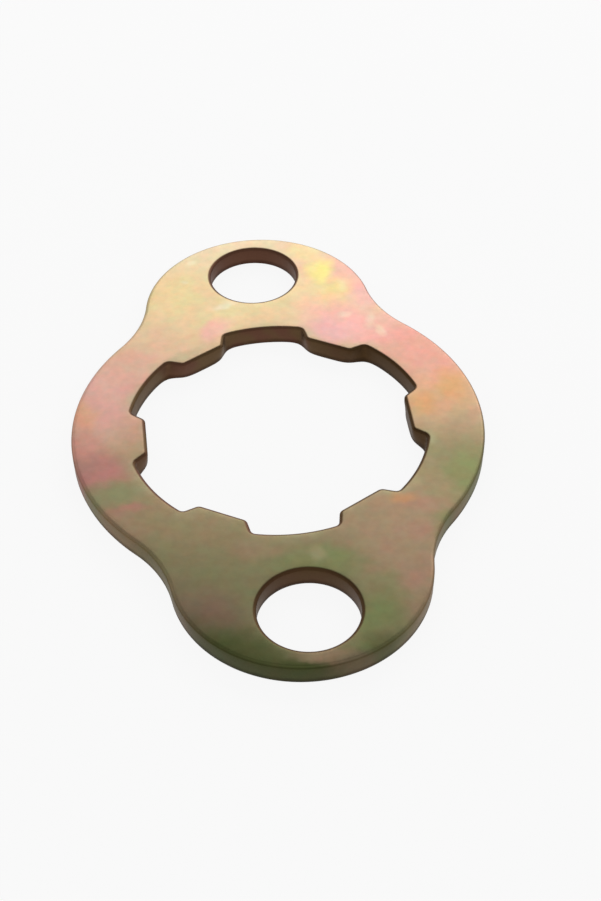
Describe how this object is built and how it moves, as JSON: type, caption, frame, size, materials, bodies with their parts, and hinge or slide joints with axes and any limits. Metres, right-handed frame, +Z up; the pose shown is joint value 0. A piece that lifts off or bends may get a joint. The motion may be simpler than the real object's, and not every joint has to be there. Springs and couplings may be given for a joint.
{
  "type": "sprocket washer",
  "caption": "Flat stamped retaining washer for a chain sprocket: a ring with a splined centre hole and rounded ears on opposite sides that carry bolt holes.",
  "frame": {"origin": "centre of the splined hole on the flat underside", "axes": "+Z up out of the upper face, whose edges are rolled over; +Y from the splined hole's centre towards one bolt hole; +X through the middle of a tooth"},
  "size_m": [0.028, 0.042, 0.0014],
  "materials": {
    "yellow_zinc_steel": "zinc plate with a yellow passivation, satin, iridescent from straw to pink and green"
  },
  "bodies": {
    "root": {"sprocket_washer": "yellow_zinc_steel"}
  },
  "joints": []
}
